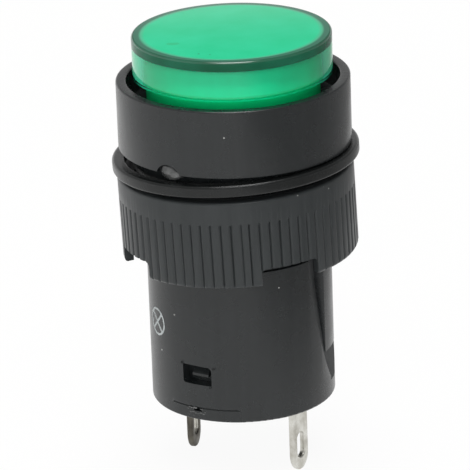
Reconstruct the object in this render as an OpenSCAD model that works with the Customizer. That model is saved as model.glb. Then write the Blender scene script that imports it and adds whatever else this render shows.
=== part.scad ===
// Round panel pilot light for a 16 mm hole: a lens that stands proud of a slim bezel, a barrel with a
// castellated lock nut, and a closed rear body with two solder terminals.
// Millimetres. Z is the lamp's axis, +Z towards the lens. The origin is the centre of the bezel's
// underside, the plane that seats on the panel. A bearing is an angle round the axis, from -Y towards +X.

/* [Bezel and lens] */
// Outer diameter of the bezel
bezel_d = 18; // [17.6:0.1:20]
// Height of the bezel above the panel
bezel_h = 5.3; // [4.6:0.1:7]
// Thickness of the bezel's rim
bezel_wall = 0.8; // [0.7:0.05:0.9]
// Depth of the well that the lens stands in
well_depth = 2.2; // [1.5:0.1:3]
// Outer diameter of the lens head
lens_d = 15.36; // [15:0.02:15.8]
// Height of the lens's face above the bezel
lens_rise = 3.46; // [2.5:0.02:6]
// Air left between the lens head's lower edge and the bezel's rim
lens_lift = 0.34; // [0.2:0.02:0.6]
// Thickness of the lens's face
lens_face = 0.75; // [0.5:0.05:1]
// Thickness of the lens's side wall
lens_wall = 0.98; // [0.9:0.02:1.1]

/* [Barrel and body] */
// Major diameter of the barrel's thread
thread_d = 15.9; // [15.8:0.02:15.96]
// Pitch of the thread
thread_pitch = 1; // [0.75:0.05:1.25]
// Length of the plain collar that sits in the panel hole
collar_h = 1.5; // [1.3:0.05:1.6]
// Length of the barrel from the bezel to its rear shoulder
barrel_h = 7.5; // [7.2:0.1:7.8]
// Diameter of the rear body
body_d = 14.35; // [14:0.05:14.6]
// Depth from the panel to the rear face
rear_z = 20.58; // [20.2:0.02:21.2]
// Bearing of the middle of the flat and its key
flat_bearing = 78; // [70:1:90]
// Width of the anti-rotation key that stands on the flat
key_w = 3.6; // [3:0.1:4]

/* [Lock nut and gasket] */
// Outer diameter of the nut
nut_d = 18.3; // [18:0.1:18.8]
// Height of the nut
nut_h = 6.93; // [6.6:0.01:7.2]
// Height of the nut's plain band
nut_band_h = 1.8; // [1.4:0.1:2.4]
// Number of serrations round the nut
serrations = 72; // [60:4:80]
// Depth of a serration
serration_depth = 0.22; // [0.16:0.02:0.26]
// Depth of the four spanner notches in the nut's skirt
notch_h = 1.36; // [1:0.02:1.6]
// Lean of the nut within the play of its thread
nut_lean = 1.9; // [0:0.1:2.2]
// Outer diameter of the sealing ring
gasket_d = 19.1; // [19:0.1:19.4]
// Thickness of the sealing ring
gasket_t = 0.94; // [0.8:0.02:0.96]
// Lean of the loose ring
gasket_lean = 2.7; // [0:0.1:2.8]

/* [Terminals] */
// Width of a terminal blade
blade_w = 2; // [1.8:0.1:2.2]
// Thickness of a terminal blade
blade_t = 0.5; // [0.4:0.05:0.6]
// Length of a blade below the rear face
blade_out = 5.94; // [5:0.02:7]
// Distance of each blade from the axis
blade_pitch_r = 4.9; // [4.8:0.05:5]
// Bearing of the right-hand blade
blade_bearing = 57; // [50:1:62]

/* [Hidden] */
$fn = 96;

eps = 0.01;                           // overshoot of a cutter past the face it cuts
fine = 0.02;                          // gap between fixed pieces that sit on each other

// lens stack
well_r = bezel_d / 2 - bezel_wall;
well_z = bezel_h - well_depth;
lens_r = lens_d / 2;
lens_top = bezel_h + lens_rise;
lens_bottom = bezel_h + lens_lift;
diffuser_r = lens_r - lens_wall - fine;
diffuser_wall = 0.8;
diffuser_top = lens_top - lens_face - fine;
diffuser_seat = -1;                   // the shoulder in the bore that carries the diffuser
diffuser_bore = diffuser_r + 0.12;

// barrel and body
barrel_r = thread_d / 2;
relief_h = thread_pitch / 2;          // undercut between the plain collar and the thread
thread_break = 0.39 * thread_pitch;   // chamfer at both ends of the thread
relief_r = barrel_r - 0.6;
thread_top = -collar_h - relief_h;
barrel_end = -barrel_h;
body_r = body_d / 2;
body_wall = 0.93;
bore_r = body_r - body_wall;
flange_h = 1.02;                      // height of the base plug's flange
seam_z = flange_h - rear_z;
seam_break = 0.05;                    // broken edge on both sides of the seam
flat_in = body_r - 1.05;              // distance of the flat from the axis where it is deepest
flat_run = -10.5;                     // the flat runs straight to here, then tapers out
flat_out = -19.1;
flat_skin = 0.85;                     // wall left behind the flat
bore_flat = flat_in - flat_skin;      // the bore's own flat, which keys the plug and the board
key_end = -16.5;

// windows for the plug's snap lugs
window_bearing = -30.4;
window_w = 2.5;
window_h = 1.55;
window_z = -16.86;
window_round = 0.25;
lug_w = 1.4;
lug_h = 0.6;
lug_sink = 0.6;                       // from the body's face in to the lug's nose

// gate left by the mould in the bezel's lower edge
gate_bearing = -35.2;
gate_r = 1.12;
gate_sink = 0.36;
gate_depth = 0.55;
gate_stub_r = 0.4;

// nut: a threaded upper part, then a thin skirt
nut_top = -1.83;
nut_r = nut_d / 2;
nut_thread_h = 4;
nut_bore_r = barrel_r + 0.12;
nut_skirt_r = nut_r - 0.73;
nut_pivot = nut_top - nut_thread_h / 2;
notch_bearing = 24.65;
notch_arc = 29.5;
notch_round = 0.35;                   // rounding of the notches' inner corners

// sealing ring, loose between the bezel and the nut
gasket_bore_r = 8.6;
gasket_z = -0.98;
gasket_round = 0.24;

// terminals
blade_turn = [13, -3];                // the blades are turned a little, the left one more
blade_shoulder = 2.6;                 // full width up to here above the rear face, then a tongue
tongue_w = 1;
tongue_top = -11.75;                  // the tongue ends just above the circuit board
slot_w = 0.9;
slot_len = 2.05;
slot_low = 1.08;                      // from the tip to the lower end of the slot
tip_r = 1.44;                         // the two arcs of the pointed tip
tip_h = 1.37;
tip_flat = 0.06;

// electronics
board_t = 1;
board_top = -12.2;
board_r = 5.9;
led_r = 2.5;
led_flange_r = 2.9;
led_flange_h = 1;
led_base = -5.2;
led_body_h = 6;
led_lead_x = 1.27;
led_lead_w = 0.5;
spacer_r = 2.05;
hole_r = 0.42;
lead_r = 0.28;
resistor_y = 3.4;
resistor_r = 1.05;
resistor_len = 4.4;
diode_y = -3.4;
diode_r = 0.95;
diode_len = 3.8;
part_lift = 0.25;                     // air under a lying component
lead_bend = 0.9;                      // from a component's end to the middle of its bent lead
lead_tail = 0.7;
resistor_foot = resistor_len / 2 + lead_bend;
diode_foot = diode_len / 2 + lead_bend;

// base plug
spigot_r = bore_r - fine;
spigot_wall = 0.85;
spigot_top = board_top - board_t - fine;
pry_w = 0.7;
pry_h = 0.3;
pry_depth = 0.4;

module at_bearing(b) {
  rotate([0, 0, b - 90]) children();
}

// a ring's section in the r-z plane, its four corners rounded
module rounded_section(r0, r1, z0, z1, round) {
  translate([r0 + round, z0]) square([r1 - r0 - 2 * round, z1 - z0]);
  translate([r0, z0 + round]) square([r1 - r0, z1 - z0 - 2 * round]);
  for (r = [r0 + round, r1 - round], z = [z0 + round, z1 - round])
    translate([r, z]) circle(r = round, $fn = 32);
}

// bezel, barrel and body in one black moulding
module housing() {
  color("#3a3c3d") difference() {
    rotate_extrude() housing_section();
    bore();
    flat_cutter();
    for (turn = [0, 180])
      at_bearing(window_bearing + turn) window_cutter();
    gate_recess();
  }
  color("#3a3c3d") gate_stub();
}

module housing_section() {
  edge = 0.16;
  core_r = bore_r - 1;
  difference() {
    union() {
      translate([core_r, 0]) square([bezel_d / 2 - core_r, bezel_h]);
      translate([core_r, -collar_h]) square([barrel_r - core_r, collar_h + eps]);
      translate([core_r, thread_top]) square([relief_r - core_r, relief_h + eps]);
      translate([core_r, barrel_end]) square([barrel_r - core_r, thread_top - barrel_end]);
      translate([core_r, seam_z]) square([body_r - core_r, barrel_end - seam_z + eps]);
    }
    // softened outer edge of the rim, and chamfers at both ends of the thread
    difference() {
      translate([bezel_d / 2 - edge, bezel_h - edge]) square(edge + eps);
      translate([bezel_d / 2 - edge, bezel_h - edge]) circle(r = edge, $fn = 32);
    }
    for (z = [thread_top, barrel_end])
      translate([barrel_r, z]) rotate(45) square(thread_break * sqrt(2), center = true);
    translate([body_r, seam_z]) rotate(45) square(seam_break * sqrt(2), center = true);
  }
}

// the well, the diffuser's socket, and a bore with one flat side
module bore() {
  translate([0, 0, well_z]) cylinder(r = well_r, h = well_depth + eps);
  translate([0, 0, diffuser_seat]) cylinder(r = diffuser_bore, h = well_z - diffuser_seat + eps);
  intersection() {
    translate([0, 0, seam_z - eps]) cylinder(r = bore_r, h = diffuser_seat - seam_z + 2 * eps);
    at_bearing(flat_bearing) keyed_side(bore_flat, seam_z - 1, 1);
  }
}

// everything inside a plane at the given distance from the axis
module keyed_side(inside, z0, z1) {
  translate([inside - 30, -15, z0]) cube([30, 30, z1 - z0]);
}

// the flat runs down from the barrel's shoulder and tapers out, round a key that is left standing
module flat_cutter() {
  reach = body_r + 1;
  at_bearing(flat_bearing) difference() {
    rotate([90, 0, 0]) linear_extrude(height = 2 * body_r, center = true)
      polygon([[flat_in, barrel_end], [flat_in + 0.12, flat_run], [body_r, flat_out],
        [reach, flat_out], [reach, barrel_end]]);
    translate([0, -key_w / 2, key_end]) cube([reach + 1, key_w, barrel_end - key_end + 1]);
  }
}

module window_cutter() {
  translate([bore_r - 1, 0, window_z]) rotate([90, 0, 90]) linear_extrude(height = 3)
    rounded_rect(window_w, window_h, window_round);
}

module rounded_rect(w, h, round) {
  square([w - 2 * round, h], center = true);
  square([w, h - 2 * round], center = true);
  for (x = [-1, 1], y = [-1, 1])
    translate([x * (w / 2 - round), y * (h / 2 - round)]) circle(r = round, $fn = 24);
}

module gate_recess() {
  at_bearing(gate_bearing) translate([bezel_d / 2 - gate_depth, 0, -gate_sink])
    rotate([0, 90, 0]) cylinder(r = gate_r, h = 2, $fn = 48);
}

module gate_stub() {
  at_bearing(gate_bearing + 2) translate([bezel_d / 2 - gate_depth + 0.05, 0, 0.02])
    cylinder(r = gate_stub_r, h = 1, $fn = 24);
}

// clear tinted cap: a thick face and a side wall over the diffuser
module lens() {
  edge = 0.12;
  color("#1fbf80") rotate_extrude() difference() {
    translate([0, lens_bottom]) square([lens_r, lens_top - lens_bottom]);
    translate([-eps, lens_bottom - eps])
      square([lens_r - lens_wall + eps, lens_top - lens_face - lens_bottom + eps]);
    difference() {
      translate([lens_r - edge, lens_top - edge]) square(edge + eps);
      translate([lens_r - edge, lens_top - edge]) circle(r = edge, $fn = 32);
    }
  }
}

// milky cup that spreads the light; its spigot stands on the shoulder in the bore
module diffuser() {
  color("#5fd8a4") difference() {
    translate([0, 0, diffuser_seat]) cylinder(r = diffuser_r, h = diffuser_top - diffuser_seat);
    translate([0, 0, diffuser_seat - eps])
      cylinder(r = diffuser_r - diffuser_wall, h = diffuser_top - diffuser_seat - diffuser_wall);
  }
}

module gasket() {
  color("#222425") translate([0, 0, gasket_z]) rotate([0, -gasket_lean, 0]) rotate_extrude()
    rounded_section(gasket_bore_r, gasket_d / 2, -gasket_t / 2, gasket_t / 2, gasket_round);
}

module lock_nut() {
  skirt_h = nut_h - nut_band_h;
  color("#434647") translate([0, 0, nut_pivot]) rotate([0, -nut_lean, 0])
    translate([0, 0, -nut_pivot]) difference() {
      union() {
        rotate_extrude() nut_band_section();
        translate([0, 0, nut_top - nut_h]) linear_extrude(height = skirt_h) serrated_disc();
      }
      translate([0, 0, nut_top - nut_h - 1]) cylinder(r = nut_bore_r, h = nut_h + 2);
      translate([0, 0, nut_top - nut_h - eps])
        cylinder(r = nut_skirt_r, h = nut_h - nut_thread_h + eps);
      for (k = [0:3])
        at_bearing(notch_bearing + 90 * k) spanner_notch();
    }
}

module nut_band_section() {
  edge = 0.15;
  core_r = nut_bore_r - 0.5;
  translate([core_r, nut_top - nut_band_h]) square([nut_r - core_r - edge, nut_band_h]);
  translate([core_r, nut_top - nut_band_h]) square([nut_r - core_r, nut_band_h - edge]);
  translate([nut_r - edge, nut_top - edge]) circle(r = edge, $fn = 32);
}

// round outline of convex ridges that meet in sharp valleys
module serrated_disc() {
  half_chord = (nut_r - serration_depth) * sin(180 / serrations);
  ridge_r = (half_chord * half_chord + serration_depth * serration_depth) / (2 * serration_depth);
  circle(r = nut_r - ridge_r);
  for (k = [0:serrations - 1])
    rotate(360 / serrations * (k + 0.5)) translate([nut_r - ridge_r, 0]) circle(r = ridge_r, $fn = 24);
}

module spanner_notch() {
  half = nut_r * sin(notch_arc / 2);
  translate([nut_bore_r - 1, 0, nut_top - nut_h]) rotate([90, 0, 90]) linear_extrude(height = 4) {
    translate([-half, -1]) square([2 * half, 1 + notch_h - notch_round]);
    translate([notch_round - half, -1]) square([2 * (half - notch_round), 1 + notch_h]);
    for (side = [-1, 1])
      translate([side * (half - notch_round), notch_h - notch_round]) circle(r = notch_round, $fn = 32);
  }
}

// rear closure: flange, hollow spigot with one flat side, and two snap lugs
module base_plug() {
  color("#3e4041") difference() {
    union() {
      plug_flange();
      plug_spigot();
      for (turn = [0, 180])
        at_bearing(window_bearing + turn) snap_lug();
    }
    for (side = [0, 1])
      at_blade(side) translate([0, 0, -rear_z]) cube([blade_t + 0.08, blade_w + 0.08, 4], center = true);
    pry_notch();
  }
}

// the spigot is cut off flat where the bore is flat, which leaves it open there
module plug_spigot() {
  intersection() {
    translate([0, 0, seam_z]) difference() {
      cylinder(r = spigot_r, h = spigot_top - seam_z);
      translate([0, 0, -eps]) cylinder(r = spigot_r - spigot_wall, h = spigot_top - seam_z + 1);
    }
    at_bearing(flat_bearing) keyed_side(bore_flat - fine, seam_z - 1, spigot_top);
  }
}

// a screwdriver's way in, at the seam below the front window
module pry_notch() {
  at_bearing(window_bearing) translate([body_r - pry_depth, -pry_w / 2, seam_z - pry_h])
    cube([1, pry_w, pry_h + 1]);
}

module plug_flange() {
  edge = 0.14;
  translate([0, 0, -rear_z]) rotate_extrude() {
    translate([0, edge]) square([body_r, flange_h - edge - seam_break]);
    square([body_r - edge, flange_h]);
    translate([body_r - edge, edge]) circle(r = edge, $fn = 32);
    translate([0, flange_h / 2]) square([body_r - seam_break, flange_h / 2]);
  }
}

module snap_lug() {
  reach = body_r - lug_sink;
  translate([0, lug_w / 2, 0]) rotate([90, 0, 0]) linear_extrude(height = lug_w)
    polygon([[bore_r - 0.6, window_z - lug_h / 2], [reach, window_z - lug_h / 2],
      [reach, window_z - lug_h / 6], [bore_r - fine, window_z + lug_h / 2],
      [bore_r - 0.6, window_z + lug_h / 2]]);
}

// a blade's own frame, left or right (0 or 1): its face looks along X and its width runs along Y
module at_blade(side) {
  at_bearing(blade_bearing + 180 * (1 - side)) translate([blade_pitch_r, 0, 0])
    rotate([0, 0, blade_turn[side]]) children();
}

// flat tinned blade with a pointed tip, a long wire eye, and a narrow tongue up to the board
module blade(side) {
  at_blade(side) translate([-blade_t / 2, 0, 0]) rotate([90, 0, 90])
    linear_extrude(height = blade_t) difference() {
      blade_outline(-rear_z - blade_out);
      wire_eye(-rear_z - blade_out + slot_low);
    }
}

module blade_outline(tip) {
  offset_x = tip_r - blade_w / 2;
  translate([-blade_w / 2, tip + tip_h]) square([blade_w, blade_out - tip_h + blade_shoulder]);
  translate([-tongue_w / 2, -rear_z]) square([tongue_w, rear_z + tongue_top]);
  intersection() {
    translate([-offset_x, tip + tip_h]) circle(r = tip_r);
    translate([offset_x, tip + tip_h]) circle(r = tip_r);
    translate([-blade_w, tip + tip_flat]) square([2 * blade_w, tip_h]);
  }
}

module wire_eye(low) {
  for (y = [low + slot_w / 2, low + slot_len - slot_w / 2])
    translate([0, y]) circle(d = slot_w, $fn = 48);
  translate([-slot_w / 2, low + slot_w / 2]) square([slot_w, slot_len - slot_w]);
}

module terminal_left() {
  color("#b9b8b0") blade(0);
}

module terminal_right() {
  color("#d8d8d2") blade(1);
}

// green board with one flat side, drilled for the leads and slotted for the two tongues
module circuit_board() {
  color("#2f6b45") difference() {
    intersection() {
      translate([0, 0, board_top - board_t]) cylinder(r = board_r, h = board_t);
      at_bearing(flat_bearing) keyed_side(bore_flat - 0.1, board_top - 2, board_top + 1);
    }
    on_board() for (side = [-1, 1]) {
      drill([side * led_lead_x, 0]);
      drill([side * resistor_foot, resistor_y]);
      drill([side * diode_foot, diode_y]);
    }
    for (side = [0, 1])
      at_blade(side) translate([0, 0, board_top]) cube([blade_t + 0.1, tongue_w + 0.1, 4], center = true);
  }
}

// the board's own frame: X runs from the left blade to the right one
module on_board() {
  at_bearing(blade_bearing) children();
}

module drill(at) {
  translate([at[0], at[1], board_top - 2]) cylinder(r = hole_r, h = 4, $fn = 32);
}

// round 5 mm lamp: flange, tube and dome
module led() {
  color("#b7e8c8") translate([0, 0, led_base]) {
    cylinder(r = led_flange_r, h = led_flange_h);
    cylinder(r = led_r, h = led_body_h);
    translate([0, 0, led_body_h]) intersection() {
      sphere(r = led_r);
      translate([0, 0, led_r / 2]) cube([8, 8, led_r], center = true);
    }
  }
}

module led_lead(x) {
  foot = board_top - board_t - lead_tail;
  color("#c9c9c4") on_board() translate([x - led_lead_w / 2, -led_lead_w / 2, foot])
    cube([led_lead_w, led_lead_w, led_base - foot]);
}

module led_anode() {
  led_lead(led_lead_x);
}

module led_cathode() {
  led_lead(-led_lead_x);
}

// sleeve that holds the lamp at its height above the board
module led_spacer() {
  color("#e6e3d8") on_board() difference() {
    translate([0, 0, board_top]) cylinder(r = spacer_r, h = led_base - board_top);
    for (x = [-led_lead_x, led_lead_x])
      translate([x, 0, board_top - 1]) cylinder(r = hole_r, h = led_base - board_top + 2, $fn = 32);
  }
}

// wire from a lying component's end, over a bend, down through the board; side is -1 or 1
module bent_lead(side, y, half_len, axis_z) {
  bend_r = 2 * lead_r;
  foot = half_len + lead_bend;
  tail = board_top - board_t - lead_tail;
  color("#c4c4be") on_board() rotate([0, 0, side > 0 ? 0 : 180]) translate([0, side * y, 0]) {
    translate([half_len, 0, axis_z]) rotate([0, 90, 0])
      cylinder(r = lead_r, h = lead_bend - bend_r, $fn = 24);
    translate([foot - bend_r, 0, axis_z - bend_r]) rotate([90, 0, 0])
      rotate_extrude(angle = 90, $fn = 24) translate([bend_r, 0]) circle(r = lead_r, $fn = 24);
    translate([foot, 0, tail]) cylinder(r = lead_r, h = axis_z - bend_r - tail, $fn = 24);
  }
}

module resistor() {
  belt = 1.1;                         // length of the thicker cap at each end
  waist = 0.14;
  color("#c9a878") on_board()
    translate([-resistor_len / 2, resistor_y, board_top + part_lift + resistor_r]) rotate([0, 90, 0]) {
      cylinder(r = resistor_r - waist, h = resistor_len);
      for (z = [0, resistor_len - belt])
        translate([0, 0, z]) cylinder(r = resistor_r, h = belt);
    }
}

module resistor_lead(side) {
  bent_lead(side, resistor_y, resistor_len / 2, board_top + part_lift + resistor_r);
}

module resistor_lead_a() {
  resistor_lead(-1);
}

module resistor_lead_b() {
  resistor_lead(1);
}

module diode() {
  color("#26282a") on_board()
    translate([-diode_len / 2, diode_y, board_top + part_lift + diode_r]) rotate([0, 90, 0])
      cylinder(r = diode_r, h = diode_len);
}

module diode_lead(side) {
  bent_lead(side, diode_y, diode_len / 2, board_top + part_lift + diode_r);
}

module diode_lead_a() {
  diode_lead(-1);
}

module diode_lead_b() {
  diode_lead(1);
}

// fillet of solder on the board round a blade's tongue
module blade_solder(side) {
  color("#b4b6b4") at_blade(side) translate([0, 0, board_top]) difference() {
    cylinder(r1 = 0.68, r2 = 0.55, h = 0.4);
    cube([blade_t, tongue_w, 2], center = true);
  }
}

module terminal_solder_left() {
  blade_solder(0);
}

module terminal_solder_right() {
  blade_solder(1);
}

// one fillet under the board for each component lead
module component_solder() {
  color("#b4b6b4") on_board() for (side = [-1, 1]) {
    solder_cone([side * resistor_foot, resistor_y]) cylinder(r = lead_r, h = 4, $fn = 24);
    solder_cone([side * diode_foot, diode_y]) cylinder(r = lead_r, h = 4, $fn = 24);
    solder_cone([side * led_lead_x, 0]) cube([led_lead_w, led_lead_w, 8], center = true);
  }
}

// a cone with the room for its lead, the child, taken out
module solder_cone(at) {
  translate([at[0], at[1], board_top - board_t]) difference() {
    translate([0, 0, -0.5]) cylinder(r1 = 0.42, r2 = 0.72, h = 0.5, $fn = 32);
    translate([0, 0, -1]) children();
  }
}

housing();
lens();
diffuser();
gasket();
lock_nut();
base_plug();
terminal_left();
terminal_right();
circuit_board();
led();
led_anode();
led_cathode();
led_spacer();
resistor();
resistor_lead_a();
resistor_lead_b();
diode();
diode_lead_a();
diode_lead_b();
terminal_solder_left();
terminal_solder_right();
component_solder();
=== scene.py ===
# Green panel pilot light for a 16 mm hole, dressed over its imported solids.
# Metres, Z along the lamp's axis, origin at the centre of the bezel's underside.
# Dictionaries are in millimetres. A bearing is an angle in degrees round the axis, from -Y towards +X.
import math
import bmesh
import bpy
from mathutils import Matrix, Vector, noise


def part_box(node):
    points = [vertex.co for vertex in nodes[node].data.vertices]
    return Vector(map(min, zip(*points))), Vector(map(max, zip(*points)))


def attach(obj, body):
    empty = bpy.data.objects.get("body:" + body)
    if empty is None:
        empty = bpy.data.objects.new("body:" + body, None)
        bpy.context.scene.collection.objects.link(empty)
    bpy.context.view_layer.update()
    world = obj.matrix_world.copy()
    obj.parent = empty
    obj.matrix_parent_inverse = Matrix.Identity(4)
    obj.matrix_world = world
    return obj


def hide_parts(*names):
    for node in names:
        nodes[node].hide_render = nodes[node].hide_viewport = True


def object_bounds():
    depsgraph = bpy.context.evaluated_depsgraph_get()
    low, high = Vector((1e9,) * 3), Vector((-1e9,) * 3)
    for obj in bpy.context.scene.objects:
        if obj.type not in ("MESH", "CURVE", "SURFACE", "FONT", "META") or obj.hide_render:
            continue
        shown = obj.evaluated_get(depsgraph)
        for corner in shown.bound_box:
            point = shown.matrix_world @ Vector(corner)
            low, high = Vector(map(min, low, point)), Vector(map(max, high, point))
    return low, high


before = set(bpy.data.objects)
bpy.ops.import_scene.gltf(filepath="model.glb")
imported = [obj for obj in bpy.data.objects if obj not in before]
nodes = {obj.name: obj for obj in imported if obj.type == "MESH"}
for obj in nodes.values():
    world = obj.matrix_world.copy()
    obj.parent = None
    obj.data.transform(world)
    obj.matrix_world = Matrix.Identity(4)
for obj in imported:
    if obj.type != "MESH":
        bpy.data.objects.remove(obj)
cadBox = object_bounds()
mm = 0.001
bpy.context.scene.view_settings.view_transform = "Standard"


def inMillimetres(node):
    low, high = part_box(node)
    return low / mm, high / mm


# sizes that the dressed pieces share with the solids
housingLow, housingHigh = inMillimetres("housing")
lensLow, lensHigh = inMillimetres("lens")
cupLow, cupHigh = inMillimetres("diffuser")
plugLow, plugHigh = inMillimetres("base_plug")
bezelRadius, rimTop, seam = housingHigh.x, housingHigh.z, housingLow.z
bodyRadius = plugHigh.x  # the plug's flange is flush with the body
print("frame loaded,", len(nodes), "nodes")

# camera
view = {"distance": 313.5, "elevation": 20.28, "roll": 2.1, "aim": (-0.28, 0, -7.76), "lens": 309.3}


def placeCamera():
    elevation, roll = math.radians(view["elevation"]), math.radians(view["roll"])
    back = Vector((0, -math.cos(elevation), math.sin(elevation)))
    right, up = Vector((1, 0, 0)), Vector((0, math.sin(elevation), math.cos(elevation)))
    tiltedRight = right * math.cos(roll) - up * math.sin(roll)
    tiltedUp = right * math.sin(roll) + up * math.cos(roll)
    data = bpy.data.cameras.new("camera")
    data.lens = view["lens"]
    data.clip_start, data.clip_end = 0.01, 50  # metres
    camera = bpy.data.objects.new("camera", data)
    axes = Matrix((tiltedRight, tiltedUp, back)).transposed().to_4x4()
    stand = (Vector(view["aim"]) + back * view["distance"]) * mm
    camera.matrix_world = Matrix.Translation(stand) @ axes
    bpy.context.scene.collection.objects.link(camera)
    bpy.context.scene.camera = camera


placeCamera()
print("camera placed")


# materials
def hexColor(hexText):
    channels = [int(hexText[k:k + 2], 16) / 255 for k in (0, 2, 4)]
    linear = [c / 12.92 if c <= 0.04045 else ((c + 0.055) / 1.055) ** 2.4 for c in channels]
    return (*linear, 1.0)


def addNode(tree, kind, sockets=None, **settings):
    node = tree.nodes.new(kind)
    for name, value in settings.items():
        setattr(node, name, value)
    for key, value in (sockets or {}).items():
        if isinstance(value, bpy.types.NodeSocket):
            tree.links.new(value, node.inputs[key])
        else:
            node.inputs[key].default_value = value
    return node


def newMaterial(name):
    material = bpy.data.materials.new(name)
    material.use_nodes = True
    material.node_tree.nodes.clear()
    return material, material.node_tree


def surfaced(material, tree, sockets):
    # every opaque finish ends in one shader
    surface = addNode(tree, "ShaderNodeBsdfPrincipled", sockets)
    addNode(tree, "ShaderNodeOutputMaterial", {"Surface": surface.outputs[0]})
    return material


def noiseScale(grain):
    # grain is the size of a blotch in millimetres; the finest are drawn coarser than real, so that they show
    return 1 / (grain * mm)


def spread(tree, value, low, high, start=0.3, end=0.7):
    # noise lies mostly between 0.3 and 0.7; this stretches it between two values
    return addNode(tree, "ShaderNodeMapRange", {"Value": value, "From Min": start, "From Max": end,
        "To Min": low, "To Max": high}).outputs["Result"]


def twoTone(tree, value, dark, pale, **noiseRange):
    # a colour that drifts between two tones as the noise does
    return addNode(tree, "ShaderNodeMix", {"Factor": spread(tree, value, 0, 1, **noiseRange),
        "A": hexColor(dark), "B": hexColor(pale)}, data_type="RGBA").outputs["Result"]


def withSpots(tree, place, color, spots, spotColor, core=0.4):
    # soft round spots, each a place and a radius; the spot's colour is full within the core's share of it
    for spot, radius in spots:
        apart = addNode(tree, "ShaderNodeVectorMath", {0: place, 1: Vector(spot) * mm}, operation="DISTANCE")
        inside = addNode(tree, "ShaderNodeMapRange", {"Value": apart.outputs["Value"],
            "From Min": radius * mm, "From Max": radius * mm * core, "To Min": 0, "To Max": 1})
        color = addNode(tree, "ShaderNodeMix", {"Factor": inside.outputs["Result"], "A": color,
            "B": hexColor(spotColor)}, data_type="RGBA").outputs["Result"]
    return color


blackLook = {"dark": "16191a", "pale": "1b1e1f", "dust": "a9aaa7", "roughness": (0.22, 0.32), "gloss": 0.5,
    "flowGrain": 0.667, "flowStretch": 0.06, "mottleGrain": 2.38}
housingLook = {**blackLook, "specks": [((-0.84, -8.96, 3.29), 0.075), ((2.92, -6.55, -9.76), 0.07),
    ((-5.16, -4.99, -12.27), 0.08), ((-6.26, -3.5, -15.71), 0.1)]}
nutLook = {**blackLook, "dark": "2a2d2e", "pale": "303334", "roughness": (0.28, 0.38), "gloss": 0.3,
    "specks": [((4.57, -7.93, -1.85), 0.08), ((6.59, -6.35, -1.8), 0.07), ((6.97, -5.93, -2.1), 0.08)]}


def mouldedBlack(name, look):
    # injection-moulded ABS: satin, with faint flow lines along the draw and a few pale specks of dust
    material, tree = newMaterial(name)
    place = addNode(tree, "ShaderNodeTexCoord").outputs["Object"]
    along = addNode(tree, "ShaderNodeMapping", {"Vector": place, "Scale": (1, 1, look["flowStretch"])})
    flow = addNode(tree, "ShaderNodeTexNoise", {"Vector": along.outputs[0],
        "Scale": noiseScale(look["flowGrain"]), "Detail": 3, "Roughness": 0.6})
    mottle = addNode(tree, "ShaderNodeTexNoise", {"Vector": place, "Scale": noiseScale(look["mottleGrain"]),
        "Detail": 4})
    tone = twoTone(tree, flow.outputs["Fac"], look["dark"], look["pale"])
    return surfaced(material, tree, {"Base Color": withSpots(tree, place, tone, look["specks"], look["dust"]),
        "Roughness": spread(tree, mottle.outputs["Fac"], *look["roughness"]), "IOR": 1.5,
        "Specular IOR Level": look["gloss"]})


# a rim is the two radii between which a tint comes in; the tints are painted shade of the dark well, seen
# down through the clear wall, with a soft greyer edge before it
faceLook = {"dark": "0ac68c", "pale": "20ce97", "grain": 3.03, "roughness": 0.2, "ior": 1.49, "gloss": 0.1,
    "wellShadeRims": ((6.6, 7.0, "49b48a"), (6.9, 7.15, "35705a")),
    "speckColor": "1c6b4a", "specks": [((-2.51, -5.26, 8.76), 0.1), ((-1.66, -5.56, 8.76), 0.08)],
    "smudgeColor": "1fbb82", "smudge": [((-4.66, -2.51, 8.76), 0.38), ((-4.44, -2.56, 8.76), 0.38),
        ((-4.22, -2.51, 8.76), 0.38)]}


def satinGreen():
    # the acrylic face scatters light like the cup beneath it, up to a soft edge; its rim is painted dark, as
    # painted shade of the well seen through the clear wall
    look = faceLook
    material, tree = newMaterial("satin green acrylic face")
    place = addNode(tree, "ShaderNodeTexCoord").outputs["Object"]
    cloud = addNode(tree, "ShaderNodeTexNoise", {"Vector": place, "Scale": noiseScale(look["grain"]),
        "Detail": 3})
    tone = twoTone(tree, cloud.outputs["Fac"], look["dark"], look["pale"])
    tone = withSpots(tree, place, tone, look["specks"], look["speckColor"])
    tone = withSpots(tree, place, tone, look["smudge"], look["smudgeColor"])
    level = addNode(tree, "ShaderNodeVectorMath", {0: place, 1: (1, 1, 0)}, operation="MULTIPLY")
    away = addNode(tree, "ShaderNodeVectorMath", {0: level.outputs[0]}, operation="LENGTH").outputs["Value"]
    for start, end, tint in look["wellShadeRims"]:
        reached = addNode(tree, "ShaderNodeMapRange", {"Value": away, "From Min": start * mm,
            "From Max": end * mm, "To Min": 0, "To Max": 1}, interpolation_type="SMOOTHSTEP")
        tone = addNode(tree, "ShaderNodeMix", {"Factor": reached.outputs["Result"], "A": tone,
            "B": hexColor(tint)}, data_type="RGBA").outputs["Result"]
    return surfaced(material, tree, {"Base Color": tone, "Roughness": look["roughness"], "IOR": look["ior"],
        "Specular IOR Level": look["gloss"]})


edgeLook = {"dark": "0f4a33", "pale": "1a5a43", "grain": 3.33, "roughness": 0.12, "ior": 1.49}


def denseGreen(name, gloss):
    # the edge of the acrylic face, where light has crossed its whole width: dark, dense green
    look = edgeLook
    material, tree = newMaterial(name)
    place = addNode(tree, "ShaderNodeTexCoord").outputs["Object"]
    cloud = addNode(tree, "ShaderNodeTexNoise", {"Vector": place, "Scale": noiseScale(look["grain"]),
        "Detail": 2})
    tone = twoTone(tree, cloud.outputs["Fac"], look["dark"], look["pale"])
    return surfaced(material, tree, {"Base Color": tone, "Roughness": look["roughness"], "IOR": look["ior"],
        "Specular IOR Level": gloss})


wallLook = {"tint": "aef0e4", "depth": "18fee8", "density": 1000.0, "shadow": "f4fffb", "roughness": 0.03,
    "ior": 1.49, "gloss": 0.1}


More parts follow.
